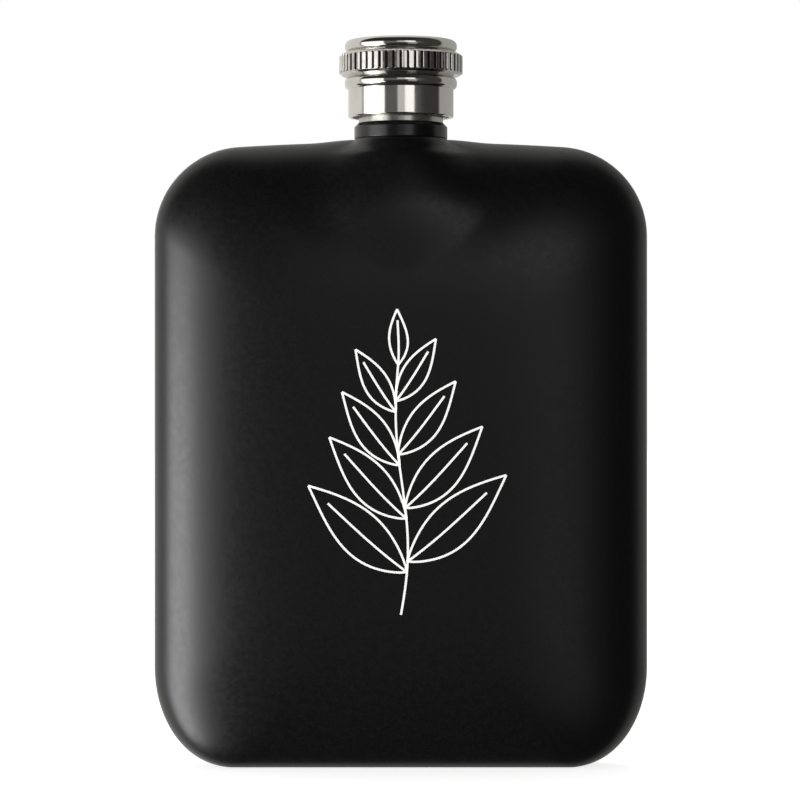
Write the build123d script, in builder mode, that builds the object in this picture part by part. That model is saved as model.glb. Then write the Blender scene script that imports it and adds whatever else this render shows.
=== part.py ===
from build123d import *
from math import cos, pi, radians, sin, sqrt
import os

# Hip flask, in millimetres. The origin is on the surface the flask stands on, under its middle.
# +X runs along the flask's width, +Z up the neck, and the front faces -Y.

# Body: two pressed steel halves joined on the flask's middle plane
body_width = 95.25
body_depth = 24.0
shoulder_height = 120.5
shoulder_arc_radius = 514.0
top_corner_radius = 17.3
base_corner_reach = 14.0
base_corner_rise = 19.0
face_edge_run = 34.0
face_edge_fullness = 2.2
corner_tightening = 0.62
resting_strip_half_width = 4.4
base_trim = 0.06
wall_thickness = 0.7

# Neck: a low boss drawn up from the shoulder, with a round collar on it
collar_wall = 0.84
collar_height = 3.14
collar_top_chamfer = 0.75
collar_foot_chamfer = 0.2
boss_rise = 0.46
boss_foot_reach = 1.05
boss_foot_share_limit = 0.4
boss_flare_power = 2.7
boss_flare_sections = 5

# Spout: a steel tube through the collar, with a right-hand thread above it
spout_bore_radius = 6.4
spout_wall = 0.95
shank_step = 0.16
spout_inside_length = 2.8
shank_above_collar = 1.6
rim_rounding = 0.3

# Screw thread, shared by the spout and the cap's liner
thread_pitch = 2.0
spout_thread_turns = 3.0
liner_thread_turns = 2.25
thread_depth = 0.65
thread_crest_width = 0.4
thread_root_width = 1.0
thread_radial_clearance = 0.2
thread_overlap = 0.15
thread_below_rim = 1.1

# Cap: a turned shell with a bead, a knurled band and a beaded top
cap_gap_above_collar = 1.1
cap_skirt_height = 5.49
cap_skirt_chamfer = 0.3
cap_shell_wall = 0.8
lower_bead_reach = 0.69
lower_bead_radius = 1.25
band_seat_step = 0.12
band_groove_height = 0.45
band_thickness = 1.64
band_height = 4.2
band_chamfer = 0.6
band_chamfer_height = 0.45
flute_count = 54
flute_radius = 0.46
flute_depth = 0.36
flute_end_margin = 0.45
top_groove_height = 0.4
top_bead_reach = 0.55
top_bead_radius = 1.2
top_recess = 0.4
top_spigot_length = 0.9

# Inside the cap: a moulded liner and a soft washer that seals on the spout's rim
liner_wall = 1.18
liner_ceiling = 1.0
liner_top_gap = 0.6
liner_foot_gap = 0.3
liner_mouth_chamfer = 0.4
washer_thickness = 1.1
washer_gap = 0.05
washer_side_gap = 0.2
washer_bore_overhang = 1.2

# Radii that follow from the sizes above, from the spout's bore outwards
spout_core_radius = spout_bore_radius + spout_wall
thread_crest_radius = spout_core_radius + thread_depth
spout_shank_radius = thread_crest_radius + shank_step
collar_radius = spout_shank_radius + collar_wall
liner_bore_radius = thread_crest_radius + thread_radial_clearance
liner_outer_radius = liner_bore_radius + liner_wall
cap_skirt_radius = liner_outer_radius + cap_shell_wall
band_seat_radius = cap_skirt_radius + band_seat_step
band_radius = band_seat_radius + band_thickness
washer_radius = liner_bore_radius - washer_side_gap
washer_hole_radius = spout_bore_radius - washer_bore_overhang

# Heights that follow from the sizes above
boss_top = shoulder_height + boss_rise
collar_top = boss_top + collar_height
shank_top = collar_top + shank_above_collar
spout_foot = shoulder_height - wall_thickness - spout_inside_length

skirt_bottom = collar_top + cap_gap_above_collar
skirt_top = skirt_bottom + cap_skirt_height
lower_bead_centre_radius = cap_skirt_radius + lower_bead_reach - lower_bead_radius
lower_bead_base_drop = sqrt(lower_bead_radius**2 - (cap_skirt_radius - lower_bead_centre_radius) ** 2)
lower_bead_height = skirt_top + lower_bead_base_drop
lower_bead_top_rise = sqrt(lower_bead_radius**2 - (band_seat_radius - lower_bead_centre_radius) ** 2)
band_bottom = lower_bead_height + lower_bead_top_rise + band_groove_height
band_top = band_bottom + band_height
top_bead_centre_radius = band_seat_radius + top_bead_reach - top_bead_radius
top_bead_foot_drop = sqrt(top_bead_radius**2 - (band_seat_radius - top_bead_centre_radius) ** 2)
top_bead_height = band_top + top_groove_height + top_bead_foot_drop
top_seat = band_top + top_groove_height / 2
cap_face = top_bead_height + top_bead_radius - top_recess
cap_face_radius = top_bead_centre_radius - sqrt(top_bead_radius**2 - (top_bead_radius - top_recess) ** 2)

top_spigot_bottom = top_seat - top_spigot_length
liner_top = top_spigot_bottom - liner_top_gap
liner_ceiling_height = liner_top - liner_ceiling
liner_bottom = shank_top + liner_foot_gap
spout_rim = liner_ceiling_height - washer_thickness - 2 * washer_gap
thread_start = spout_rim - thread_below_rim - thread_pitch * spout_thread_turns

os.makedirs("parts", exist_ok=True)


def body_outline(distance, half_width, base, crown, top_radius, corner_reach, corner_rise):
    """Front outline at a distance from the middle plane: straight sides and base, a faintly arched top."""
    arc_radius = shoulder_arc_radius
    arc_centre = crown - arc_radius
    corner_x = half_width - top_radius
    corner_z = arc_centre + sqrt((arc_radius - top_radius) ** 2 - corner_x**2)
    tilt = corner_x / (arc_radius - top_radius)
    shoulder_x = arc_radius * tilt
    shoulder_z = arc_centre + arc_radius * sqrt(1 - tilt**2)
    diagonal_x = corner_x + top_radius * cos(pi / 4)
    diagonal_z = corner_z + top_radius * sin(pi / 4)
    base_x = half_width - corner_reach
    side_z = base + corner_rise
    with BuildSketch(Plane.XZ.offset(distance)) as outline:
        with BuildLine():
            Line((-base_x, base), (base_x, base))
            EllipticalCenterArc((base_x, side_z), corner_reach, corner_rise, 270, arc_size=90)
            Line((half_width, side_z), (half_width, corner_z))
            ThreePointArc((half_width, corner_z), (diagonal_x, diagonal_z), (shoulder_x, shoulder_z))
            ThreePointArc((shoulder_x, shoulder_z), (0, crown), (-shoulder_x, shoulder_z))
            ThreePointArc((-shoulder_x, shoulder_z), (-diagonal_x, diagonal_z), (-half_width, corner_z))
            Line((-half_width, corner_z), (-half_width, side_z))
            EllipticalCenterArc((-base_x, side_z), corner_reach, corner_rise, 180, arc_size=90)
        make_face()
    return outline.sketch


def rounded_edge(share):
    """Height of the edge's rounding, from 1 to 0, as share goes from 0 to 1."""
    return max(0.0, 1 - share**face_edge_fullness) ** (1 / face_edge_fullness)


def pressed_form(skin_offset):
    """Pillow-shaped solid of the body, skin_offset inside its outer skin."""
    half_depth = body_depth / 2 - skin_offset
    run = face_edge_run - skin_offset
    strip = resting_strip_half_width
    section_angles = [-90 + 10 * step for step in range(19)]
    outlines = []
    for angle in section_angles:
        reach = cos(radians(angle))
        rise = rounded_edge(reach)
        inset = skin_offset + run * (1 - reach)
        beyond_strip = max(0.0, (half_depth * rise - strip) / (half_depth - strip))
        base_reach = rounded_edge(beyond_strip)
        base_inset = skin_offset + run * (1 - base_reach)
        roundness = 1 - corner_tightening * (1 - reach)
        outline = body_outline(
            half_depth * rise * (1 if angle > 0 else -1),
            body_width / 2 - inset,
            base_inset - base_trim,
            shoulder_height - inset,
            (top_corner_radius - skin_offset) * roundness,
            (base_corner_reach - skin_offset) * roundness,
            (base_corner_rise - skin_offset) * roundness,
        )
        outlines.append(outline)
    with BuildPart() as form:
        loft(sections=outlines)
    return form


def half_section(points):
    """Closed outline in the XZ plane, one side of a round piece's cross-section."""
    with BuildSketch(Plane.XZ) as section:
        with BuildLine():
            Polyline(*points, close=True)
        make_face()
    return section.sketch


def thread_ridge(root_radius, crest_radius, start_height, turns):
    """Trapezoidal thread ridge on a right-hand helix, from its root radius to its crest radius."""
    with BuildPart() as ridge:
        with BuildLine() as path:
            Helix(thread_pitch, thread_pitch * turns, root_radius, center=(0, 0, start_height))
        section_plane = Plane(path.line @ 0, x_dir=(1, 0, 0), z_dir=path.line % 0)
        height = crest_radius - root_radius
        with BuildSketch(section_plane):
            with BuildLine():
                Polyline(
                    (0, -thread_root_width / 2),
                    (height, -thread_crest_width / 2),
                    (height, thread_crest_width / 2),
                    (0, thread_root_width / 2),
                    close=True,
                )
            make_face()
        sweep(path=path.line, is_frenet=True)
    return ridge


# Body: one hollow pressing with its boss, then cut into a front and a back half
outer_form = pressed_form(0)
inner_form = pressed_form(wall_thickness)
boss_flare = min(boss_foot_reach, boss_foot_share_limit * (body_depth / 2 - collar_radius))
boss_foot_share = (collar_radius + boss_flare) / (body_depth / 2)
boss_height = boss_rise + face_edge_run * (1 - rounded_edge(boss_foot_share))
with BuildPart() as body_shell:
    add(outer_form.part)
    for section in range(boss_flare_sections):
        depth_share = 1 - section / (boss_flare_sections - 1)
        with BuildSketch(Plane.XY.offset(boss_top - boss_height * depth_share)):
            Ellipse(collar_radius, collar_radius + boss_flare * depth_share**boss_flare_power)
    loft()
    add(inner_form.part, mode=Mode.SUBTRACT)
    with BuildSketch(Plane.XY.offset(boss_top)):
        Circle(spout_shank_radius)
    extrude(amount=-boss_height - wall_thickness, mode=Mode.SUBTRACT)
    split(bisect_by=Plane.XY, keep=Keep.TOP)

with BuildPart() as front_shell:
    add(body_shell.part)
    split(bisect_by=Plane.XZ, keep=Keep.TOP)
front_shell.part.label = "front_shell"
export_step(front_shell.part, "parts/front_shell.step")

with BuildPart() as back_shell:
    add(body_shell.part)
    split(bisect_by=Plane.XZ, keep=Keep.BOTTOM)
back_shell.part.label = "back_shell"
export_step(back_shell.part, "parts/back_shell.step")

# Collar: a coated ring on the boss, chamfered at its top and relieved at its foot
collar_profile = [
    (spout_shank_radius, boss_top),
    (collar_radius - collar_foot_chamfer, boss_top),
    (collar_radius, boss_top + collar_foot_chamfer),
    (collar_radius, collar_top - collar_top_chamfer),
    (collar_radius - collar_top_chamfer, collar_top),
    (spout_shank_radius, collar_top),
]
with BuildPart() as neck_collar:
    revolve(half_section(collar_profile), axis=Axis.Z)
neck_collar.part.label = "neck_collar"
export_step(neck_collar.part, "parts/neck_collar.step")

# Spout: a plain shank, a core below the thread's root, and a softened rim
spout_thread = thread_ridge(
    spout_core_radius - thread_overlap,
    thread_crest_radius,
    thread_start,
    spout_thread_turns,
)
spout_profile = [
    (spout_bore_radius, spout_foot),
    (spout_shank_radius, spout_foot),
    (spout_shank_radius, shank_top),
    (spout_core_radius, shank_top + (spout_shank_radius - spout_core_radius) / 2),
    (spout_core_radius, spout_rim - rim_rounding),
    (spout_core_radius - rim_rounding, spout_rim),
    (spout_bore_radius + rim_rounding, spout_rim),
    (spout_bore_radius, spout_rim - rim_rounding),
]
with BuildPart() as threaded_spout:
    revolve(half_section(spout_profile), axis=Axis.Z)
    add(spout_thread.part)
threaded_spout.part.label = "threaded_spout"
export_step(threaded_spout.part, "parts/threaded_spout.step")

# Cap shell: skirt, lower bead and the plain seat that the knurled band is pressed onto
with BuildPart() as cap_shell:
    with BuildSketch(Plane.XZ):
        with BuildLine():
            Polyline(
                (liner_outer_radius, top_seat),
                (liner_outer_radius, skirt_bottom),
                (cap_skirt_radius - cap_skirt_chamfer, skirt_bottom),
                (cap_skirt_radius, skirt_bottom + cap_skirt_chamfer),
                (cap_skirt_radius, skirt_top),
            )
            ThreePointArc(
                (cap_skirt_radius, skirt_top),
                (lower_bead_centre_radius + lower_bead_radius, lower_bead_height),
                (band_seat_radius, lower_bead_height + lower_bead_top_rise),
            )
            Polyline(
                (band_seat_radius, lower_bead_height + lower_bead_top_rise),
                (band_seat_radius, top_seat),
                (liner_outer_radius, top_seat),
            )
        make_face()
    revolve(axis=Axis.Z)
cap_shell.part.label = "cap_shell"
export_step(cap_shell.part, "parts/cap_shell.step")

# Grip ring: a chamfered band with straight flutes that stop short of its edges
band_profile = [
    (band_seat_radius, band_bottom),
    (band_radius - band_chamfer, band_bottom),
    (band_radius, band_bottom + band_chamfer_height),
    (band_radius, band_top - band_chamfer_height),
    (band_radius - band_chamfer, band_top),
    (band_seat_radius, band_top),
]
with BuildPart() as grip_ring:
    revolve(half_section(band_profile), axis=Axis.Z)
    with BuildSketch(Plane.XY.offset(band_bottom + flute_end_margin)):
        with PolarLocations(band_radius + flute_radius - flute_depth, flute_count):
            Circle(flute_radius)
    extrude(amount=band_height - 2 * flute_end_margin, mode=Mode.SUBTRACT)
grip_ring.part.label = "grip_ring"
export_step(grip_ring.part, "parts/grip_ring.step")

# Cap top: a disc with a rounded bead, its spigot pressed into the cap shell
with BuildPart() as cap_top:
    with BuildSketch(Plane.XZ):
        with BuildLine():
            Polyline(
                (0, cap_face),
                (0, top_spigot_bottom),
                (liner_outer_radius, top_spigot_bottom),
                (liner_outer_radius, top_seat),
                (band_seat_radius, top_seat),
                (band_seat_radius, band_top + top_groove_height),
            )
            ThreePointArc(
                (band_seat_radius, band_top + top_groove_height),
                (
                    top_bead_centre_radius + top_bead_radius * cos(pi / 4),
                    top_bead_height + top_bead_radius * sin(pi / 4),
                ),
                (cap_face_radius, cap_face),
            )
            Line((cap_face_radius, cap_face), (0, cap_face))
        make_face()
    revolve(axis=Axis.Z)
cap_top.part.label = "cap_top"
export_step(cap_top.part, "parts/cap_top.step")

# Liner: a moulded cup pressed into the cap shell, its thread half a pitch out of step with the spout's
liner_thread = thread_ridge(
    liner_bore_radius + thread_overlap,
    spout_core_radius + thread_radial_clearance,
    thread_start + thread_pitch / 2,
    liner_thread_turns,
)
liner_profile = [
    (0, liner_top),
    (0, liner_ceiling_height),
    (liner_bore_radius, liner_ceiling_height),
    (liner_bore_radius, liner_bottom + liner_mouth_chamfer),
    (liner_bore_radius + liner_mouth_chamfer, liner_bottom),
    (liner_outer_radius, liner_bottom),
    (liner_outer_radius, liner_top),
]
with BuildPart() as cap_liner:
    revolve(half_section(liner_profile), axis=Axis.Z)
    add(liner_thread.part)
cap_liner.part.label = "cap_liner"
export_step(cap_liner.part, "parts/cap_liner.step")

# Washer: a soft ring between the liner's ceiling and the spout's rim
with BuildPart() as seal_washer:
    with BuildSketch(Plane.XY.offset(spout_rim + washer_gap)):
        Circle(washer_radius)
        Circle(washer_hole_radius, mode=Mode.SUBTRACT)
    extrude(amount=washer_thickness)
seal_washer.part.label = "seal_washer"
export_step(seal_washer.part, "parts/seal_washer.step")
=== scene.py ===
import bpy
import bmesh
from math import asin, atan, ceil, cos, exp, pi, radians, sin, sqrt
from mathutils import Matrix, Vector
from mathutils.bvhtree import BVHTree


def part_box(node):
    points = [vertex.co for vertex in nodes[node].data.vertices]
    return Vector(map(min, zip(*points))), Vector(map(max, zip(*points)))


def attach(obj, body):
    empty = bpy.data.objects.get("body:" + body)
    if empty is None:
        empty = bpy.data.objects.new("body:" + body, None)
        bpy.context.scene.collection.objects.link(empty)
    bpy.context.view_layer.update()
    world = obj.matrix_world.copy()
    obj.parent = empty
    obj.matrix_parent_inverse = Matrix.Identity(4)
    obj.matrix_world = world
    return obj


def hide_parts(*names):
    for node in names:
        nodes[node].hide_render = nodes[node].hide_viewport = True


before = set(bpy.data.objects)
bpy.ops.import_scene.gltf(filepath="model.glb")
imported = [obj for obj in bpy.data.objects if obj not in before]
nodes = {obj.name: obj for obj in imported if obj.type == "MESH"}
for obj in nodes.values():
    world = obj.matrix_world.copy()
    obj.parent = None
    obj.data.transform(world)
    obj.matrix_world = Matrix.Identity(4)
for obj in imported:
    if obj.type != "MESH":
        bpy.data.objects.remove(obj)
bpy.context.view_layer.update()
mm = 0.001
print("frame loaded:", len(nodes), "CAD pieces")


def hexToLinear(code):
    channels = [int(code[i:i + 2], 16) / 255 for i in (1, 3, 5)]
    return [c / 12.92 if c <= 0.04045 else ((c + 0.055) / 1.055) ** 2.4 for c in channels] + [1]


def addNode(tree, kind, settings=None, links=None):
    # a key is a socket's name or number, or else one of the node's own properties
    node = tree.nodes.new(kind)
    for key, value in (settings or {}).items():
        if isinstance(key, int) or key in node.inputs:
            node.inputs[key].default_value = value
        else:
            setattr(node, key, value)
    for socket, source in (links or {}).items():
        tree.links.new(source, node.inputs[socket])
    return node


def newMaterial(name):
    material = bpy.data.materials.new(name)
    material.use_nodes = True
    material.node_tree.nodes.clear()
    return material, material.node_tree


def addPiece(name, mesh, body, material, replaced=()):
    piece = bpy.data.objects.new(name, mesh)
    bpy.context.scene.collection.objects.link(piece)
    mesh.materials.append(material)
    for polygon in mesh.polygons:
        polygon.use_smooth = True
    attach(piece, body)
    if replaced:
        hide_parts(*replaced)
    print("made", name, len(mesh.vertices), "points")
    return piece


def smoothstep(share):
    share = min(1, max(0, share))
    return share * share * (3 - 2 * share)


def between(low, high, step):
    count = max(1, ceil((high - low) / step))
    return [low + (high - low) * i / count for i in range(count + 1)]


def sizeOf(node):
    # radius or half width, foot and top of a CAD piece, in millimetres
    low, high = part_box(node)
    return high.x / mm, low.z / mm, high.z / mm


# straight on, level with the middle of the flask
camera = {
    "distance": 640 * mm,
    "height": 70.6 * mm,
    "side": -0.17 * mm,
    "seenWidth": 154.85 * mm,  # width that the view takes in where the flask stands
}
cameraData = bpy.data.cameras.new("camera")
cameraData.angle = 2 * atan(camera["seenWidth"] / 2 / camera["distance"])
cameraObject = bpy.data.objects.new("camera", cameraData)
cameraObject.location = (camera["side"], -camera["distance"], camera["height"])
cameraObject.rotation_euler = (pi / 2, 0, 0)
bpy.context.scene.collection.objects.link(cameraObject)
bpy.context.scene.camera = cameraObject
bpy.context.scene.view_settings.view_transform = "Standard"
print("camera placed")

# a pale floor, a white dome behind everything, a dim room and soft panels
studio = {
    "domeRadius": 4.0,
    "floorHalfWidth": 3.9,
    "floorGlow": 0.8,  # keeps the pale card near white under a small light
    "topAxis": (0, 0.35, 0.937),  # the overhead panel hangs a little behind the flask
    "white": "#fffdfa",
}
glows = {
    # the room's light by direction: along what, from where, to where, strength there and there
    "leftToRight": ("X", -0.3, 0.3, 0.8, 0.4),
    "behind": ("Y", -0.02, 0.12, 0, 1),
    "aboveFloor": ("Z", -0.35, 0.02, 0, 1),
    "frontBand": ("Z", 0.24, 0.02, 0, 0.15),  # a dim wall behind the camera
    "frontEdge": ("X", 0.85, 0.4, 0, 1),
    "overhead": ("topAxis", 0.74, 0.99, 0, 0.8),
    "room": ("X", 0.3, 0.6, 0.026, 0.05),
}
joins = {
    # how the glows come together, one after the other
    "back": ("MULTIPLY", "leftToRight", "behind"),
    "level": ("MULTIPLY", "aboveFloor", "frontBand"),
    "front": ("MULTIPLY", "level", "frontEdge"),
    "backOrTop": ("MAXIMUM", "back", "overhead"),
    "brightest": ("MAXIMUM", "backOrTop", "front"),
    "total": ("ADD", "brightest", "room"),
}
panels = {
    # azimuth from the camera's side (minus is left), distance, width, lowest and highest edge, power in watts
    "leftWide": {"azimuth": -62, "distance": 0.62, "width": 0.62, "low": -0.42, "high": 0.24, "power": 1.9},
    "leftCore": {"azimuth": -64, "distance": 0.6, "width": 0.3, "low": -0.45, "high": 0.12, "power": 3.4},
    "rightFill": {"azimuth": 24, "distance": 0.9, "width": 0.3, "low": -0.32, "high": 0.16, "power": 0.15},
    "capWide": {"azimuth": 11, "distance": 0.36, "width": 0.235, "low": 0.142, "high": 0.205, "power": 0.026},
    "capCore": {"azimuth": 19, "distance": 0.355, "width": 0.127, "low": 0.142, "high": 0.205, "power": 0.02},
}
for name, size in panels.items():
    data = bpy.data.lights.new(name, "AREA")
    data.shape = "RECTANGLE"
    data.size, data.size_y = size["width"], size["high"] - size["low"]
    data.energy = size["power"]
    panel = bpy.data.objects.new(name, data)
    angle = radians(size["azimuth"])
    outward = Vector((sin(angle), -cos(angle), 0))
    panel.location = outward * size["distance"] + Vector((0, 0, (size["low"] + size["high"]) / 2))
    panel.rotation_euler = outward.to_track_quat("Z", "Y").to_euler()
    bpy.context.scene.collection.objects.link(panel)

world = bpy.data.worlds.new("studioRoom")
world.use_nodes = True
bpy.context.scene.world = world
tree = world.node_tree
facing = addNode(tree, "ShaderNodeTexCoord").outputs["Generated"]
upward = addNode(tree, "ShaderNodeVectorMath", {"operation": "DOT_PRODUCT", 1: studio["topAxis"]},
                 {0: facing})
along = dict(addNode(tree, "ShaderNodeSeparateXYZ", links={"Vector": facing}).outputs.items())
along["topAxis"] = upward.outputs["Value"]
strength = {}
for name, (axis, start, end, first, last) in glows.items():
    strength[name] = addNode(tree, "ShaderNodeMapRange", {
        "interpolation_type": "SMOOTHSTEP", "From Min": start, "From Max": end, "To Min": first,
        "To Max": last}, {"Value": along[axis]}).outputs[0]
for name, (operation, first, second) in joins.items():
    strength[name] = addNode(tree, "ShaderNodeMath", {"operation": operation},
                             {0: strength[first], 1: strength[second]}).outputs[0]
background = tree.nodes["Background"]
background.inputs["Color"].default_value = hexToLinear(studio["white"])
tree.links.new(strength["total"], background.inputs["Strength"])

material, tree = newMaterial("paleCard")  # matt paper sweep, no gloss
shader = addNode(tree, "ShaderNodeBsdfPrincipled", {
    "Base Color": hexToLinear("#f4f4f4"), "Roughness": 0.95, "Specular IOR Level": 0,
    "Emission Color": hexToLinear("#ffffff"), "Emission Strength": studio["floorGlow"]})
addNode(tree, "ShaderNodeOutputMaterial", links={"Surface": shader.outputs[0]})
half = studio["floorHalfWidth"]
corners = [(-half, -half, 0), (half, -half, 0), (half, half, 0), (-half, half, 0)]
floorMesh = bpy.data.meshes.new("floor")
floorMesh.from_pydata(corners, [], [(0, 1, 2, 3)])
floorMesh.materials.append(material)
floor = bpy.data.objects.new("floor", floorMesh)
bpy.context.scene.collection.objects.link(floor)
floor.visible_glossy = False  # the lower panels shine past the card
floor.visible_shadow = False
floor.visible_diffuse = False

material, tree = newMaterial("whiteDome")  # white studio cloth lit from behind, so it shows no folds
shader = addNode(tree, "ShaderNodeEmission", {"Color": hexToLinear("#ffffff"), "Strength": 1.0})
addNode(tree, "ShaderNodeOutputMaterial", links={"Surface": shader.outputs[0]})
domeMesh = bpy.data.meshes.new("dome")
shaper = bmesh.new()
bmesh.ops.create_uvsphere(shaper, u_segments=48, v_segments=24, radius=studio["domeRadius"])
shaper.to_mesh(domeMesh)
shaper.free()
domeMesh.materials.append(material)
dome = bpy.data.objects.new("dome", domeMesh)
bpy.context.scene.collection.objects.link(dome)
dome.visible_diffuse = False  # only the camera sees it
dome.visible_glossy = False
dome.visible_transmission = False
dome.visible_shadow = False
print("studio set")


def coatedSurface(name, look):
    # a coloured surface with two sizes of grain: the coarse one moves the light, the fine one the tone
    material, tree = newMaterial(name)
    place = addNode(tree, "ShaderNodeTexCoord").outputs["Object"]
    coarse = addNode(tree, "ShaderNodeTexNoise", {"Scale": 1 / (look["wave"] * mm), "Detail": 2.0},
                     {"Vector": place}).outputs["Fac"]
    fine = addNode(tree, "ShaderNodeTexNoise", {"Scale": 1 / (look["grain"] * mm), "Detail": 1.0},
                   {"Vector": place}).outputs["Fac"]
    height = addNode(tree, "ShaderNodeMix", {"data_type": "FLOAT", "Factor": look["grainShare"]},
                     {"A": coarse, "B": fine})
    bump = addNode(tree, "ShaderNodeBump", {"Strength": 1.0, "Distance": look["depth"] * mm},
                   {"Height": height.outputs[0]})
    tone = addNode(tree, "ShaderNodeMapRange", {
        "interpolation_type": "SMOOTHSTEP", "From Min": 0.3, "From Max": 0.7, "To Min": 0, "To Max": 1},
        {"Value": fine})
    colour = addNode(tree, "ShaderNodeMix", {
        "data_type": "RGBA", 6: hexToLinear(look["dark"]), 7: hexToLinear(look["light"])},
        {"Factor": tone.outputs[0]})
    roughness = addNode(tree, "ShaderNodeMapRange", {
        "interpolation_type": "SMOOTHSTEP", "From Min": 0.3, "From Max": 0.7, "To Min": look["smooth"],
        "To Max": look["rough"]}, {"Value": coarse})
    # where a look asks for it, the surface also glows in its light colour: a painted glow, not a lamp
    shader = addNode(tree, "ShaderNodeBsdfPrincipled", {
        "IOR": look["ior"], "Subsurface Weight": look.get("glow", 0), "Subsurface Scale": 1 * mm,
        "Emission Color": hexToLinear(look["light"]), "Emission Strength": look.get("paintedGlow", 0)}, {
        "Base Color": colour.outputs[2], "Roughness": roughness.outputs[0], "Normal": bump.outputs[0]})
    addNode(tree, "ShaderNodeOutputMaterial", links={"Surface": shader.outputs[0]})
    return material


def metalSurface(name, look):
    # bare metal: rings left by the lathe run round the axis, faint smudges change how sharply it mirrors
    material, tree = newMaterial(name)
    place = addNode(tree, "ShaderNodeTexCoord").outputs["Object"]
    along = addNode(tree, "ShaderNodeMapping", {
        "Scale": (look["smear"], look["smear"], 1 / (look["ring"] * mm))}, {"Vector": place})
    rings = addNode(tree, "ShaderNodeTexNoise", {"Scale": 1.0, "Detail": 2.0}, {"Vector": along.outputs[0]})
    smudge = addNode(tree, "ShaderNodeTexNoise", {"Scale": 1 / (look["smudge"] * mm), "Detail": 3.0},
                     {"Vector": place}).outputs["Fac"]
    # circles round the axis show on flat ends; the wave texture's period is 0.314 divided by its scale
    circles = addNode(tree, "ShaderNodeTexWave", {
        "wave_type": "RINGS", "rings_direction": "Z", "Scale": 0.314 / (look["circle"] * mm)},
        {"Vector": place})
    height = addNode(tree, "ShaderNodeMath", {"operation": "ADD"},
                     {0: rings.outputs["Fac"], 1: circles.outputs["Fac"]})
    bump = addNode(tree, "ShaderNodeBump", {"Strength": 1.0, "Distance": look["depth"] * mm},
                   {"Height": height.outputs[0]})
    tone = addNode(tree, "ShaderNodeMapRange", {
        "interpolation_type": "SMOOTHSTEP", "From Min": 0.3, "From Max": 0.7, "To Min": 0, "To Max": 1},
        {"Value": smudge})
    colour = addNode(tree, "ShaderNodeMix", {
        "data_type": "RGBA", 6: hexToLinear(look["dark"]), 7: hexToLinear(look["light"])},
        {"Factor": tone.outputs[0]})
    roughness = addNode(tree, "ShaderNodeMapRange", {
        "interpolation_type": "SMOOTHSTEP", "From Min": 0.35, "From Max": 0.7, "To Min": look["smooth"],
        "To Max": look["rough"]}, {"Value": smudge})
    shader = addNode(tree, "ShaderNodeBsdfPrincipled", {"Metallic": 1.0}, {
        "Base Color": colour.outputs[2], "Roughness": roughness.outputs[0], "Normal": bump.outputs[0]})
    addNode(tree, "ShaderNodeOutputMaterial", links={"Surface": shader.outputs[0]})
    return material


# epoxy powder sprayed dry and baked: near black and matt, with a fine pebbled grain (0.35 mm here, drawn
# coarser than the real 0.1 mm so that it shows)
powderCoat = coatedSurface("powderCoat", {
    "wave": 1.1, "grain": 0.35, "grainShare": 0.85, "depth": 0.005, "ior": 1.5,
    "dark": "#0b0b0c", "light": "#121313", "smooth": 0.3, "rough": 0.35})

# stoving enamel on the turned collar: the same black, smoother, so that it mirrors the panels in soft bands
stovingEnamel = coatedSurface("stovingEnamel", {
    "wave": 2.4, "grain": 0.4, "grainShare": 0.3, "depth": 0.003, "ior": 1.5,
    "dark": "#0e0e0e", "light": "#151515", "smooth": 0.2, "rough": 0.27})

# stainless steel turned and then buffed: a faintly warm mirror with soft smudges; its tool rings are drawn
# 0.3 mm apart, coarser than the 0.1 mm or so of a real finishing cut, so that they show
buffedStainless = metalSurface("buffedStainless", {
    "ring": 0.3, "circle": 0.45, "smear": 40, "depth": 0.0005, "smudge": 5.0,
    "dark": "#d1cfc9", "light": "#dad8d2", "smooth": 0.09, "rough": 0.13})

# the knurled band is rolled after buffing and left unpolished: each ridge is a shade duller than the beads
rolledStainless = metalSurface("rolledStainless", {
    "ring": 0.25, "circle": 0.4, "smear": 60, "depth": 0.0006, "smudge": 1.2,
    "dark": "#c2bfb9", "light": "#d6d4ce", "smooth": 0.12, "rough": 0.19})

# painted shade on the floors of the flutes: brown-black, so that each ridge stands out
paintedShadeStainless = metalSurface("paintedShadeStainless", {
    "ring": 0.25, "circle": 0.4, "smear": 60, "depth": 0.001, "smudge": 0.8,
    "dark": "#2c2a27", "light": "#4d4a45", "smooth": 0.3, "rough": 0.45})

# plain turned stainless, never buffed: grey and satin with clear tool rings
turnedStainless = metalSurface("turnedStainless", {
    "ring": 0.14, "circle": 0.3, "smear": 25, "depth": 0.0015, "smudge": 3.0,
    "dark": "#adaaa3", "light": "#bfbcb5", "smooth": 0.22, "rough": 0.32})

# drawn steel sheet as it left the press: dull and streaky inside the flask
drawnStainless = metalSurface("drawnStainless", {
    "ring": 0.8, "circle": 1.5, "smear": 300, "depth": 0.002, "smudge": 6.0,
    "dark": "#8f8c86", "light": "#a9a69f", "smooth": 0.3, "rough": 0.42})

# injection-moulded polypropylene, left its natural colour: milky and slightly waxy
naturalPolypropylene = coatedSurface("naturalPolypropylene", {
    "wave": 1.5, "grain": 0.4, "grainShare": 0.3, "depth": 0.003, "ior": 1.49, "glow": 0.35,
    "dark": "#d8d6cc", "light": "#e6e4dc", "smooth": 0.34, "rough": 0.45})

# punched silicone rubber sheet: pale, soft and non-glossy
siliconeRubber = coatedSurface("siliconeRubber", {
    "wave": 1.0, "grain": 0.3, "grainShare": 0.5, "depth": 0.004, "ior": 1.42, "glow": 0.3,
    "dark": "#cfcfca", "light": "#e0e0dc", "smooth": 0.5, "rough": 0.62})

# screen-printed epoxy ink, squeezed through a mesh: dead matt with the faintest mottling, and a painted glow
# makes it stand out whiter than the lamps alone light it
screenInk = coatedSurface("screenInk", {
    "wave": 0.8, "grain": 0.3, "grainShare": 0.5, "depth": 0.002, "ior": 1.45,
    "dark": "#f2f2f0", "light": "#fdfdfb", "smooth": 0.5, "rough": 0.6, "paintedGlow": 0.5})
print("materials mixed")

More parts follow.
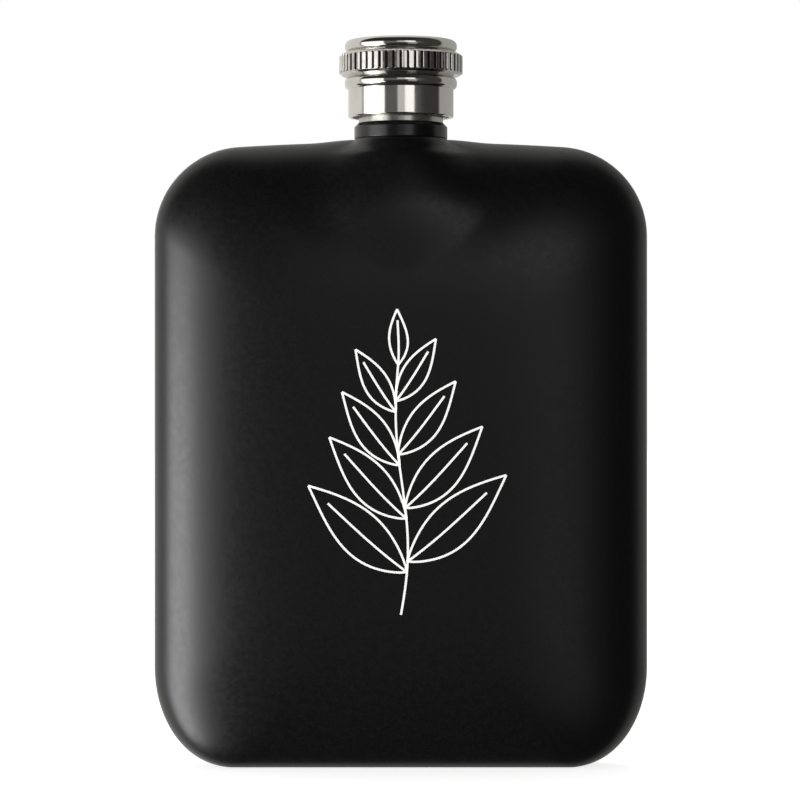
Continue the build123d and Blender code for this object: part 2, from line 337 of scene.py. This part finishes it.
bodyLow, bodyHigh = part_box("front_shell")
collarRadius, collarFoot, collarTop = sizeOf("neck_collar")
shankRadius, spoutFoot, spoutRim = sizeOf("threaded_spout")
linerRadius = sizeOf("cap_liner")[0]
shellFoot, shellTop = sizeOf("cap_shell")[1:]

# flask body: one coated skin over both pressed halves; this and every size below is in millimetres
flaskBody = {
    "halfWidth": bodyHigh.x / mm,
    "halfDepth": -bodyLow.y / mm - 0.04,  # leaves room for the printed ink
    "bossTop": bodyHigh.z / mm,
    "bossRise": 0.46,
    "shoulderArc": 514.0,
    "topCorner": 17.3,
    "baseReach": 14.0,
    "baseRise": 19.0,
    "edgeRun": 34.0,  # how far the rounding reaches in over the face
    "edgeFullness": 2.2,
    "cornerTightening": 0.62,
    "restingStrip": 4.4,  # half the depth of the flat strip it stands on
    "baseTrim": 0.06,
    "bossSpread": (10.0, 2.4),  # how much wider and deeper the boss grows on its way down
    "bossRun": (8.5, 9.0),
    "bossCurve": 1.8,
    "lipReach": 0.4,  # a quick flare straight under the collar
    "lipRun": 0.6,
    "swellReach": 18.0,  # the shoulder rises gently to meet the boss from this far out
    "swellRise": 0.52,
    "sideFillet": 0.25,  # blend of the boss into the shoulder, at the sides and at the front
    "frontBlend": 5.0,
    "frontStart": 5.0,  # the blend is the front's this far from the middle plane
    "blendRise": 3.0,  # the blend is full this far down from the collar
    "blendDrop": (10.0, 18.0),  # it starts to fade this far down, and fades over the second length
    "wall": 0.7,
    "neckHole": 8.3,
    "reshapedReach": 32.0,  # the neck changes the shoulder no further out than this
    "rowsToFace": 44,
    "blendRows": 40,  # and no further in from the seam than this row
    "faceRings": (0.82, 0.64, 0.46, 0.28, 0.12),  # rows over the flat face, as shares of its outline
    "bossColumns": 30,
    "cornerColumns": 20,
    "sideColumns": 16,
    "baseColumns": 24,
    "columnStep": (0.22, 1.18, 1.6),  # along the shoulder: first step, its growth, longest step
    "columnGap": 0.6,  # the least room left before the corner
    "weld": 0.004,  # points nearer than this become one, along the seam
}


def roundedEdge(share):
    return max(0, 1 - share ** flaskBody["edgeFullness"]) ** (1 / flaskBody["edgeFullness"])


def outlineSizes(reach):
    # the front outline where the face has risen to this share of its rounding, 1 at the seam, 0 on the face
    body = flaskBody
    rise = roundedEdge(reach)
    strip = body["restingStrip"]
    beyondStrip = max(0, (body["halfDepth"] * rise - strip) / (body["halfDepth"] - strip))
    inset = body["edgeRun"] * (1 - reach)
    roundness = 1 - body["cornerTightening"] * (1 - reach)
    halfWidth = body["halfWidth"] - inset
    corner = body["topCorner"] * roundness
    crown = body["bossTop"] - body["bossRise"] - inset
    tilt = asin((halfWidth - corner) / (body["shoulderArc"] - corner))
    return {
        "halfWidth": halfWidth,
        "crown": crown,
        "corner": corner,
        "tilt": tilt,
        "cornerX": halfWidth - corner,
        "cornerZ": crown - body["shoulderArc"] + (body["shoulderArc"] - corner) * cos(tilt),
        "base": body["edgeRun"] * (1 - roundedEdge(beyondStrip)) - body["baseTrim"],
        "baseReach": body["baseReach"] * roundness,
        "baseRise": body["baseRise"] * roundness,
        "y": -body["halfDepth"] * rise,
    }


def outlinePoint(size, stretch, share):
    # a point at a share of one stretch of the outline's right-hand half
    arc = flaskBody["shoulderArc"]
    if stretch == "top":
        x = share * arc * sin(size["tilt"])
        z = size["crown"] - arc + sqrt(arc * arc - x * x)
    elif stretch == "topCorner":
        angle = size["tilt"] + share * (pi / 2 - size["tilt"])
        x = size["cornerX"] + size["corner"] * sin(angle)
        z = size["cornerZ"] + size["corner"] * cos(angle)
    elif stretch == "side":
        foot = size["base"] + size["baseRise"]
        x = size["halfWidth"]
        z = size["cornerZ"] + share * (foot - size["cornerZ"])
    elif stretch == "baseCorner":
        x = size["halfWidth"] - size["baseReach"] * (1 - cos(share * pi / 2))
        z = size["base"] + size["baseRise"] * (1 - sin(share * pi / 2))
    else:
        x = share * (size["halfWidth"] - size["baseReach"])
        z = size["base"]
    return Vector((x, size["y"], max(0, z)))


def outlineColumns():
    # (stretch, share, side) all the way round: the right-hand half from the middle of the top, then the left
    body = flaskBody
    topReach = body["shoulderArc"] * sin(outlineSizes(1)["tilt"])
    half = body["bossColumns"] // 2
    xs = [collarRadius * sin(pi / 2 * i / half) for i in range(half + 1)]
    step, growth, longest = body["columnStep"]
    while xs[-1] + step < topReach - body["columnGap"]:
        xs.append(xs[-1] + step)
        step = min(step * growth, longest)
    xs.append(topReach)
    right = [("top", x / topReach, 1) for x in xs]
    for stretch, count in (("topCorner", body["cornerColumns"]), ("side", body["sideColumns"]),
                           ("baseCorner", body["cornerColumns"])):
        right += [(stretch, i / count, 1) for i in range(1, count + 1)]
    half = body["baseColumns"] // 2
    right += [("base", 1 - i / half, 1) for i in range(1, half)]
    left = [(stretch, share, -1) for stretch, share, side in reversed(right[1:])]
    return right + [("base", 0, 1)] + left


def skinDistance(p):
    # distance from the shoulder and from the boss, which widens downwards, blended softly at the front
    body = flaskBody
    arc = body["shoulderArc"]
    swell = smoothstep((body["swellReach"] - abs(p.x)) / (body["swellReach"] - collarRadius))
    crown = body["bossTop"] - body["bossRise"] + body["swellRise"] * swell
    inset = crown - p.z - (arc - sqrt(arc * arc - p.x * p.x))
    u = max(1e-6, 1 - inset / body["edgeRun"])
    v = max(1e-6, abs(p.y) / body["halfDepth"])
    n = body["edgeFullness"]
    level = (u ** n + v ** n) ** (1 / n)
    slope = Vector((u ** (n - 1) / body["edgeRun"], v ** (n - 1) / body["halfDepth"])) * level ** (1 - n)
    shoulder = (level - 1) / slope.length
    drop = max(0, body["bossTop"] - p.z)
    lip = body["lipReach"] * (1 - exp(-drop / body["lipRun"]))
    spreadX = 1 - exp(-(drop / body["bossRun"][0]) ** body["bossCurve"])
    spreadY = 1 - exp(-drop / body["bossRun"][1])
    reachX = collarRadius + lip / 2 + body["bossSpread"][0] * spreadX
    reachY = collarRadius + lip + body["bossSpread"][1] * spreadY
    nearness = Vector((p.x / reachX, p.y / reachY)).length
    steepness = Vector((p.x / reachX ** 2, p.y / reachY ** 2)).length / max(nearness, 1e-6)
    boss = (nearness - 1) / max(steepness, 1e-6)
    front = smoothstep(abs(p.y) / body["frontStart"])
    width = body["sideFillet"] + (body["frontBlend"] - body["sideFillet"]) * front
    width *= min(1, max(0.02, drop / body["blendRise"]))
    width *= 1 - smoothstep((drop - body["blendDrop"][0]) / body["blendDrop"][1])
    width = max(width, 0.01)
    overlap = max(0, width - abs(shoulder - boss)) / width
    return min(shoulder, boss) - overlap * overlap * width / 4


def settleOnSkin(p):
    # a few Newton steps carry a point onto the surface
    step = 0.01
    for _ in range(12):
        d = skinDistance(p)
        if abs(d) < 1e-5:
            break
        gradient = Vector([
            (skinDistance(p + Vector(axis) * step) - skinDistance(p - Vector(axis) * step)) / (2 * step)
            for axis in ((1, 0, 0), (0, 1, 0), (0, 0, 1))])
        p = p - gradient * (d / gradient.length_squared)
    return p


def skinPoint(size, stretch, share, row, topReach):
    # a point of one outline, moved onto the boss where it is near the neck; row 0 is the seam
    body = flaskBody
    p = outlinePoint(size, stretch, share)
    seamX = share * topReach if stretch == "top" else body["reshapedReach"]
    if seamX >= body["reshapedReach"] or row > body["blendRows"]:
        return p
    onRim = seamX <= collarRadius + 1e-6
    if onRim:
        start = outlinePoint(outlineSizes(1), stretch, share)
        rim = Vector((seamX, -sqrt(max(0, collarRadius ** 2 - seamX ** 2)), body["bossTop"]))
        p = rim if row == 0 else p + (rim - start) * (1 - row / body["blendRows"]) ** 2
    if row > 0 or not onRim:
        p = settleOnSkin(p)
    if row == 0:
        p.y = min(0, p.y) if seamX <= collarRadius else 0
    return p


def skinRows():
    # rows from the seam in to the middle of the face, for the front half
    body = flaskBody
    columns = outlineColumns()
    topReach = body["shoulderArc"] * sin(outlineSizes(1)["tilt"])
    rows = []
    for row in range(body["rowsToFace"] + 1):
        size = outlineSizes(cos(pi / 2 * row / body["rowsToFace"]))
        points = []
        for stretch, share, side in columns:
            p = skinPoint(size, stretch, share, row, topReach)
            points.append(Vector((p.x * side, p.y, p.z)))
        rows.append(points)
    face = rows[-1]
    centre = Vector((0, -body["halfDepth"], sum(p.z for p in face) / len(face)))
    rows += [[centre + (p - centre) * shrink for p in face] for shrink in body["faceRings"]]
    return rows, centre


def addInnerWall(shaper):
    # the bare inside, one wall's thickness in, with the neck's hole left open between the two
    body = flaskBody
    outer = list(shaper.verts)
    outerFaces = list(shaper.faces)
    rim = [edge for edge in shaper.edges if len(edge.link_faces) == 1]
    inner = {}
    for vertex in outer:
        place = vertex.co - vertex.normal * (body["wall"] * mm)
        if vertex.is_boundary:
            place = Vector((vertex.co.x, vertex.co.y, 0)).normalized() * (body["neckHole"] * mm)
            place.z = vertex.co.z
        inner[vertex] = shaper.verts.new(place)
    for face in outerFaces:
        shaper.faces.new([inner[vertex] for vertex in reversed(face.verts)]).material_index = 1
    for edge in rim:
        first, second = edge.link_loops[0].vert, edge.link_loops[0].link_loop_next.vert
        shaper.faces.new([second, first, inner[first], inner[second]]).material_index = 1


def makeBody():
    rows, centre = skinRows()
    count = len(rows[0])
    points, faces = [], []
    for half in (1, -1):
        first = len(points)
        points += [(p.x * mm, p.y * half * mm, p.z * mm) for row in rows for p in row]
        points.append((centre.x, centre.y * half * mm, centre.z * mm))
        for r in range(len(rows) - 1):
            for c in range(count):
                d = (c + 1) % count
                near, far = first + r * count, first + (r + 1) * count
                quad = [near + c, near + d, far + d, far + c]
                faces.append(quad if half == 1 else quad[::-1])
        last = first + (len(rows) - 1) * count
        for c in range(count):
            triangle = [last + c, last + (c + 1) % count, len(points) - 1]
            faces.append(triangle if half == 1 else triangle[::-1])
    mesh = bpy.data.meshes.new("coatedBody")
    mesh.from_pydata(points, [], faces)
    shaper = bmesh.new()
    shaper.from_mesh(mesh)
    bmesh.ops.remove_doubles(shaper, verts=shaper.verts, dist=flaskBody["weld"] * mm)
    bmesh.ops.recalc_face_normals(shaper, faces=shaper.faces)
    shaper.verts.ensure_lookup_table()
    addInnerWall(shaper)
    bmesh.ops.recalc_face_normals(shaper, faces=shaper.faces)
    shaper.to_mesh(mesh)
    shaper.free()
    return mesh


bodyMesh = makeBody()
coatedBody = addPiece("coatedBody", bodyMesh, "flask", powderCoat,
                      ("front_shell", "back_shell"))
bodyMesh.materials.append(drawnStainless)


# round pieces: a cross-section with softened corners, carried round the neck's axis
def softened(corners, steps=4, guard=0.05):
    # corners are (radius, height) or (radius, height, rounding), all in millimetres
    count = len(corners)
    points = []
    for i, corner in enumerate(corners):
        here = Vector(corner[:2])
        rounding = corner[2] if len(corner) > 2 else 0
        if not rounding:
            points.append(here)
            continue
        before = (Vector(corners[i - 1][:2]) - here).normalized()
        after = (Vector(corners[(i + 1) % count][:2]) - here).normalized()
        bend = before.angle(after)
        reach = rounding / max(1e-6, sin(bend / 2) / cos(bend / 2))
        middle = here + (before + after).normalized() * (rounding / sin(bend / 2))
        start, end = here + before * reach - middle, here + after * reach - middle
        sweep = start.angle(end)
        points.append(middle + start + before * guard)  # close neighbours keep the flats flat
        for step in range(steps + 1):
            share = step / steps
            weights = sin((1 - share) * sweep), sin(share * sweep)
            points.append(middle + (start * weights[0] + end * weights[1]) / sin(sweep))
        points.append(middle + end + after * guard)
    return points


def bead(radius, height, size, low, high, fullness=2.4, steps=28):
    # rounded bulge, from one angle to the other in degrees up from straight outwards
    points = []
    for step in range(steps + 1):
        angle = radians(low + (high - low) * step / steps)
        across, up = cos(angle), sin(angle)
        swell = (abs(across) ** fullness + abs(up) ** fullness) ** (-1 / fullness)
        points.append((radius + size * across * swell, height + size * up * swell))
    return points


def turnedMesh(name, section, columns=256, shape=None, creaseAngle=26):
    # section points run upwards on the outside; points on the axis close the piece with a single point
    points, faces, rings = [], [], []
    for r, z in section:
        if r < 1e-6:
            rings.append([len(points)] * columns)
            points.append((0, 0, z * mm))
            continue
        rings.append(list(range(len(points), len(points) + columns)))
        for c in range(columns):
            angle = 2 * pi * c / columns
            reach = shape(angle, r, z) if shape else r
            points.append((reach * cos(angle) * mm, reach * sin(angle) * mm, z * mm))
    closed = section[0][0] > 1e-6
    for i in range(len(rings) if closed else len(rings) - 1):
        low, high = rings[i], rings[(i + 1) % len(rings)]
        for c in range(columns):
            d = (c + 1) % columns
            corners = [low[c], low[d], high[d], high[c]]
            faces.append([v for k, v in enumerate(corners) if v not in corners[:k]])
    mesh = bpy.data.meshes.new(name)
    mesh.from_pydata(points, [], faces)
    mesh.set_sharp_from_angle(angle=radians(creaseAngle))
    return mesh


# collar
collar = {"footCut": 0.2, "topCut": 0.75, "columns": 192}
collarSection = softened([
    (shankRadius, collarFoot), (collarRadius - collar["footCut"], collarFoot, 0.04),
    (collarRadius, collarFoot + collar["footCut"], 0.08), (collarRadius, collarTop - collar["topCut"], 0.3),
    (collarRadius - collar["topCut"], collarTop, 0.1), (shankRadius, collarTop)])
addPiece("enamelledCollar", turnedMesh("enamelledCollar", collarSection, collar["columns"]), "flask",
         stovingEnamel, ("neck_collar",))

# spout: tube with its right-hand thread cut proud of the core
spout = {
    "bore": 6.4,
    "core": 7.35,
    "crest": 8.0,
    "shankTop": collarTop + 1.6,
    "corner": 0.1,
    "rimRounding": 0.3,
    "turns": 3.0,
    "pitch": 2.0,
    "threadStart": spoutRim - 7.1,  # height of the thread's crest where it starts
    "crestWidth": 0.4,
    "rootWidth": 1.0,
    "fadeTurns": 0.06,  # it rises and runs out over this share of a turn
    "rowStep": 0.07,
    "columns": 240,
}


def threadedRadius(angle, r, z):
    below = z < spout["threadStart"] - 0.8
    above = z > spoutRim - spout["rimRounding"] - 0.02
    if r < spout["core"] - 0.01 or below or above:
        return r
    rise = z - spout["threadStart"] - spout["pitch"] * angle / (2 * pi)
    turn = round(rise / spout["pitch"])
    along = turn + angle / (2 * pi)
    away = abs(rise - turn * spout["pitch"])
    ridge = (spout["rootWidth"] / 2 - away) / ((spout["rootWidth"] - spout["crestWidth"]) / 2)
    fade = smoothstep(along / spout["fadeTurns"]) * smoothstep((spout["turns"] - along) / spout["fadeTurns"])
    return r + (spout["crest"] - spout["core"]) * smoothstep(ridge) * fade


threadRows = between(spout["threadStart"] - 0.7, spoutRim - spout["rimRounding"] - 0.08, spout["rowStep"])
stepRise = (shankRadius - spout["core"]) / 2
spoutSection = softened([
    (spout["bore"], spoutFoot, spout["corner"]), (shankRadius, spoutFoot, spout["corner"]),
    (shankRadius, spout["shankTop"], spout["corner"]),
    (spout["core"], spout["shankTop"] + stepRise, spout["corner"]),
    *[(spout["core"], z) for z in threadRows],
    (spout["core"], spoutRim, spout["rimRounding"]), (spout["bore"], spoutRim, spout["rimRounding"])])
addPiece("turnedSpout", turnedMesh("turnedSpout", spoutSection, spout["columns"], threadedRadius), "flask",
         turnedStainless, ("threaded_spout",))

# cap shell
capShell = {
    "skirt": linerRadius + 0.8,
    "skirtTop": shellFoot + 5.4,
    "seat": linerRadius + 0.92,  # the band and the top sit on this
    "beadRadius": 9.62,
    "beadHeight": shellFoot + 6.608,
    "beadSize": 1.25,
    "beadAngles": (-63.2, 57),
    "columns": 320,
}
shellSection = softened([
    (linerRadius, shellFoot, 0.15), (capShell["skirt"], shellFoot, 0.28),
    (capShell["skirt"], capShell["skirtTop"] - 0.08), (capShell["skirt"], capShell["skirtTop"]),
    *bead(capShell["beadRadius"], capShell["beadHeight"], capShell["beadSize"], *capShell["beadAngles"]),
    (capShell["seat"], capShell["beadHeight"] + 1.2), (capShell["seat"], shellTop, 0.1),
    (linerRadius, shellTop, 0.1)])
addPiece("capShell", turnedMesh("capShell", shellSection, capShell["columns"]), "cap",
         buffedStainless, ("cap_shell",))

# knurled band
bandRadius, bandFoot, bandTop = sizeOf("grip_ring")
gripBand = {
    "cut": 0.6,
    "cutHeight": 0.45,
    "flutes": 54,
    "fluteDepth": 0.36,
    "fluteShare": 0.34,  # of each flute and ridge together
    "fluteMargin": 0.35,
    "fluteFade": 0.3,
    "fluteSquareness": 3,
    "fluteFullness": 0.6,
    "ridgeCrown": 0.035,  # each ridge is slightly domed
    "columnsEach": 18,
    "flatStart": 0.62,  # the ridges' rows start this far in from either end
    "rowStep": 0.1,
    "edgeReach": 1.2,
    "darkDepth": 0.12,  # a flute's floor gets painted shade below this depth, and this far from its ends
    "darkMargin": 0.5,
}


def flutedRadius(angle, r, z):
    band = gripBand
    if r < bandRadius - band["cut"] * 0.9:
        return r
    share = (angle * band["flutes"] / (2 * pi)) % 1
    away = abs(share - 0.5) / (band["fluteShare"] / 2)
    hollow = max(0, 1 - away ** band["fluteSquareness"]) ** band["fluteFullness"]
    crown = band["ridgeCrown"] * (1 - 4 * min(share, 1 - share) ** 2)
    fromFoot = smoothstep((z - bandFoot - band["fluteMargin"]) / band["fluteFade"])
    fromTop = smoothstep((bandTop - band["fluteMargin"] - z) / band["fluteFade"])
    return r - (band["fluteDepth"] * hollow + band["ridgeCrown"] - crown) * fromFoot * fromTop


lowerEdge = softened([
    (capShell["seat"], bandFoot), (bandRadius - gripBand["cut"], bandFoot, 0.1),
    (bandRadius, bandFoot + gripBand["cutHeight"], 0.12), (bandRadius, bandFoot + gripBand["edgeReach"])])
upperEdge = softened([
    (bandRadius, bandTop - gripBand["edgeReach"]), (bandRadius, bandTop - gripBand["cutHeight"], 0.12),
    (bandRadius - gripBand["cut"], bandTop, 0.1), (capShell["seat"], bandTop)])
ridgeRows = between(bandFoot + gripBand["flatStart"], bandTop - gripBand["flatStart"], gripBand["rowStep"])
bandSection = lowerEdge[:-1] + [Vector((bandRadius, z)) for z in ridgeRows] + upperEdge[1:]
bandMesh = turnedMesh("knurledBand", bandSection, gripBand["flutes"] * gripBand["columnsEach"], flutedRadius)
addPiece("knurledBand", bandMesh, "cap", rolledStainless, ("grip_ring",))
bandMesh.materials.append(paintedShadeStainless)
# the flute floors deep in the knurl get the painted shade
darkFoot, darkTop = bandFoot + gripBand["darkMargin"], bandTop - gripBand["darkMargin"]
for polygon in bandMesh.polygons:
    x, y, z = polygon.center
    grooved = sqrt(x * x + y * y) < (bandRadius - gripBand["darkDepth"]) * mm
    if grooved and darkFoot * mm < z < darkTop * mm:
        polygon.material_index = 1

# cap top
spigotFoot, topHeight = sizeOf("cap_top")[1:]
capTop = {
    "groove": 0.094,
    "beadRadius": 9.65,
    "beadHeight": topHeight - 1.199,
    "beadSize": 1.19,
    "beadAngles": (-57, 138),
    "face": topHeight - 0.399,
    "faceHollow": 0.1,
    "faceRings": (8.6, 8.0, 6.5, 4.5, 2.5, 1.0),
    "columns": 320,
}
topSection = softened([
    (0, spigotFoot), (linerRadius, spigotFoot, 0.12), (linerRadius, shellTop),
    (capShell["seat"], shellTop, 0.05), (capShell["seat"], shellTop + capTop["groove"])])
topBead = bead(capTop["beadRadius"], capTop["beadHeight"], capTop["beadSize"], *capTop["beadAngles"])
topSection += [Vector(p) for p in topBead]
faceRim = capTop["faceRings"][0]
for r in (*capTop["faceRings"], 0):
    topSection.append(Vector((r, capTop["face"] - capTop["faceHollow"] * (1 - (r / faceRim) ** 2))))
addPiece("capTop", turnedMesh("capTop", topSection, capTop["columns"]), "cap", buffedStainless,
         ("cap_top",))

# liner and washer keep their CAD shapes
for name, material in (("cap_liner", naturalPolypropylene), ("seal_washer", siliconeRubber)):
    nodes[name].data.materials.clear()
    nodes[name].data.materials.append(material)
print("liner and washer finished")

# printed sprig: a stem with paired leaves in thin white lines
sprig = {
    "low": 29.8,
    "high": 87.8,
    "stemShare": 0.82,  # the rest of the height is the leaf at the tip
    "stemSway": 1.5,
    "stemWaves": 1.1,
    "pairs": 4,
    "firstPair": 0.14,  # as shares of the height
    "pairGap": 0.175,
    "pairOffset": 0.035,
    "leafLength": (24.8, 14.0),
    "leafWidth": 0.34,
    "leafAngle": (54, 38),
    "leafCurl": 0.09,
    "leafSkew": 0.85,
    "midrib": 0.8,
    "lineWidth": 0.42,
    "proud": 0.03,
    "sunk": 0.05,
}


def stemX(z):
    share = (z - sprig["low"]) / (sprig["high"] - sprig["low"])
    return sprig["stemSway"] * sin(2 * pi * sprig["stemWaves"] * share) * (1 - 0.5 * share)


def leafStrokes(root, angle, length, side, steps=28):
    # two curved edges meeting at the tip, and a midrib
    along = Vector((sin(angle) * side, cos(angle)))
    across = Vector((cos(angle) * side, -sin(angle)))
    bow = sprig["leafWidth"] * length / 2

    def at(share, out):
        curl = sprig["leafCurl"] * length * sin(pi * share * 0.5) * share
        bulge = bow * out * sin(pi * share ** sprig["leafSkew"])
        return root + along * (length * share) + across * (bulge - curl)

    strokes = [[at(i / steps, out) for i in range(steps + 1)] for out in (1, -1)]
    strokes.append([at(sprig["midrib"] * i / steps, 0) for i in range(steps + 1)])
    return strokes


def sprigStrokes():
    height = sprig["high"] - sprig["low"]
    stemTop = sprig["low"] + sprig["stemShare"] * height
    longest, shortest = sprig["leafLength"]
    widest, steepest = sprig["leafAngle"]
    strokes = [[Vector((stemX(z), z)) for z in between(sprig["low"], stemTop, 0.8)]]
    for pair in range(sprig["pairs"]):
        share = pair / (sprig["pairs"] - 1)
        length = longest + (shortest - longest) * share
        angle = radians(widest + (steepest - widest) * share)
        for side, offset in ((1, sprig["pairOffset"]), (-1, 0)):
            z = sprig["low"] + height * (sprig["firstPair"] + sprig["pairGap"] * pair + offset)
            strokes += leafStrokes(Vector((stemX(z), z)), angle, length, side)
    strokes += leafStrokes(Vector((stemX(stemTop), stemTop)), radians(4), sprig["high"] - stemTop, 1)
    return strokes


def printMesh(name, strokes):
    # flat ribbons laid on the body's front, a hair proud of the coat and sunk a little into it
    surface = BVHTree.FromObject(coatedBody, bpy.context.evaluated_depsgraph_get())
    half = sprig["lineWidth"] / 2
    points, faces = [], []
    for stroke in strokes:
        first = len(points)
        for i, p in enumerate(stroke):
            before, after = stroke[max(0, i - 1)], stroke[min(len(stroke) - 1, i + 1)]
            heading = (after - before).normalized()
            side = Vector((-heading.y, heading.x)) * half
            for x, z in (p - side, p + side):
                hit = surface.ray_cast(Vector((x * mm, -0.05, z * mm)), Vector((0, 1, 0)))[0]
                for offset in (-sprig["proud"], sprig["sunk"]):
                    points.append((x * mm, hit.y + offset * mm, z * mm))
        for i in range(len(stroke) - 1):
            a, b = first + 4 * i, first + 4 * (i + 1)
            for j, k in ((0, 2), (2, 3), (3, 1), (1, 0)):
                faces.append((a + j, a + k, b + k, b + j))
        last = len(points) - 4
        faces.append((first, first + 1, first + 3, first + 2))
        faces.append((last, last + 2, last + 3, last + 1))
    mesh = bpy.data.meshes.new(name)
    mesh.from_pydata(points, [], faces)
    shaper = bmesh.new()
    shaper.from_mesh(mesh)
    bmesh.ops.recalc_face_normals(shaper, faces=shaper.faces)
    shaper.to_mesh(mesh)
    shaper.free()
    return mesh


sprigMesh = printMesh("printedSprig", sprigStrokes())
addPiece("printedSprig", sprigMesh, "flask", screenInk)
for polygon in sprigMesh.polygons:
    polygon.use_smooth = False
